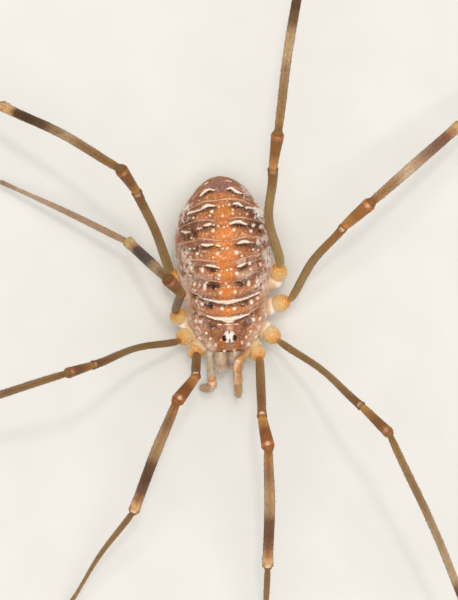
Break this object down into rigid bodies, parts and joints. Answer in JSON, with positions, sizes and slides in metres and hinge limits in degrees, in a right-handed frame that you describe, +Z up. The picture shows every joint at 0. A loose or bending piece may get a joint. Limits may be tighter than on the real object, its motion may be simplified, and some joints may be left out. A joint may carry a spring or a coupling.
{
  "type": "harvestman",
  "caption": "Harvestman with a small oval body, a raised eye mound, short feelers and long thin jointed legs, standing still on the tips of its legs.",
  "frame": {"origin": "on the floor under the middle of the footprint's bounding box", "axes": "+Z up, -Y toward the animal's head, +X toward the animal's left side"},
  "size_m": [0.053, 0.0568, 0.0104],
  "materials": {
    "body_cuticle": "reddish brown arthropod cuticle with pale and orange marks, faint sheen",
    "eye_mound_cuticle": "pale cream cuticle of the eye mound",
    "eye_lens": "black glossy eye lens",
    "chelicera_cuticle": "pale translucent grey-cream cuticle, faint sheen",
    "pedipalp_cuticle": "orange-brown and pale cuticle",
    "trochanter_cuticle": "pale orange-yellow cuticle",
    "femur_cuticle": "olive-brown cuticle",
    "patella_cuticle": "brown cuticle with orange ends",
    "tibia_cuticle": "brown cuticle with a pale middle and a dark band",
    "metatarsus_cuticle": "olive-brown cuticle",
    "tarsus_cuticle": "brown cuticle in many short rings"
  },
  "bodies": {
    "root": {"prosoma": "body_cuticle", "opisthosoma": "body_cuticle", "ocularium": "eye_mound_cuticle", "eye_left": "eye_lens", "chelicera_left": "chelicera_cuticle", "pedipalp_left": "pedipalp_cuticle", "eye_right": "eye_lens", "chelicera_right": "chelicera_cuticle", "pedipalp_right": "pedipalp_cuticle", "leg1_left_trochanter": "trochanter_cuticle", "leg1_left_femur": "femur_cuticle", "leg1_left_patella": "patella_cuticle", "leg1_left_tibia": "tibia_cuticle", "leg1_left_metatarsus": "metatarsus_cuticle", "leg1_left_tarsus": "tarsus_cuticle", "leg1_right_trochanter": "trochanter_cuticle", "leg1_right_femur": "femur_cuticle", "leg1_right_patella": "patella_cuticle", "leg1_right_tibia": "tibia_cuticle", "leg1_right_metatarsus": "metatarsus_cuticle", "leg1_right_tarsus": "tarsus_cuticle", "leg2_left_trochanter": "trochanter_cuticle", "leg2_left_femur": "femur_cuticle", "leg2_left_patella": "patella_cuticle", "leg2_left_tibia": "tibia_cuticle", "leg2_left_metatarsus": "metatarsus_cuticle", "leg2_left_tarsus": "tarsus_cuticle", "leg2_right_trochanter": "trochanter_cuticle", "leg2_right_femur": "femur_cuticle", "leg2_right_patella": "patella_cuticle", "leg2_right_tibia": "tibia_cuticle", "leg2_right_metatarsus": "metatarsus_cuticle", "leg2_right_tarsus": "tarsus_cuticle", "leg3_left_trochanter": "trochanter_cuticle", "leg3_left_femur": "femur_cuticle", "leg3_left_patella": "patella_cuticle", "leg3_left_tibia": "tibia_cuticle", "leg3_left_metatarsus": "metatarsus_cuticle", "leg3_left_tarsus": "tarsus_cuticle", "leg3_right_trochanter": "trochanter_cuticle", "leg3_right_femur": "femur_cuticle", "leg3_right_patella": "patella_cuticle", "leg3_right_tibia": "tibia_cuticle", "leg3_right_metatarsus": "metatarsus_cuticle", "leg3_right_tarsus": "tarsus_cuticle", "leg4_left_trochanter": "trochanter_cuticle", "leg4_left_femur": "femur_cuticle", "leg4_left_patella": "patella_cuticle", "leg4_left_tibia": "tibia_cuticle", "leg4_left_metatarsus": "metatarsus_cuticle", "leg4_left_tarsus": "tarsus_cuticle", "leg4_right_trochanter": "trochanter_cuticle", "leg4_right_femur": "femur_cuticle", "leg4_right_patella": "patella_cuticle", "leg4_right_tibia": "tibia_cuticle", "leg4_right_metatarsus": "metatarsus_cuticle", "leg4_right_tarsus": "tarsus_cuticle"}
  },
  "joints": []
}
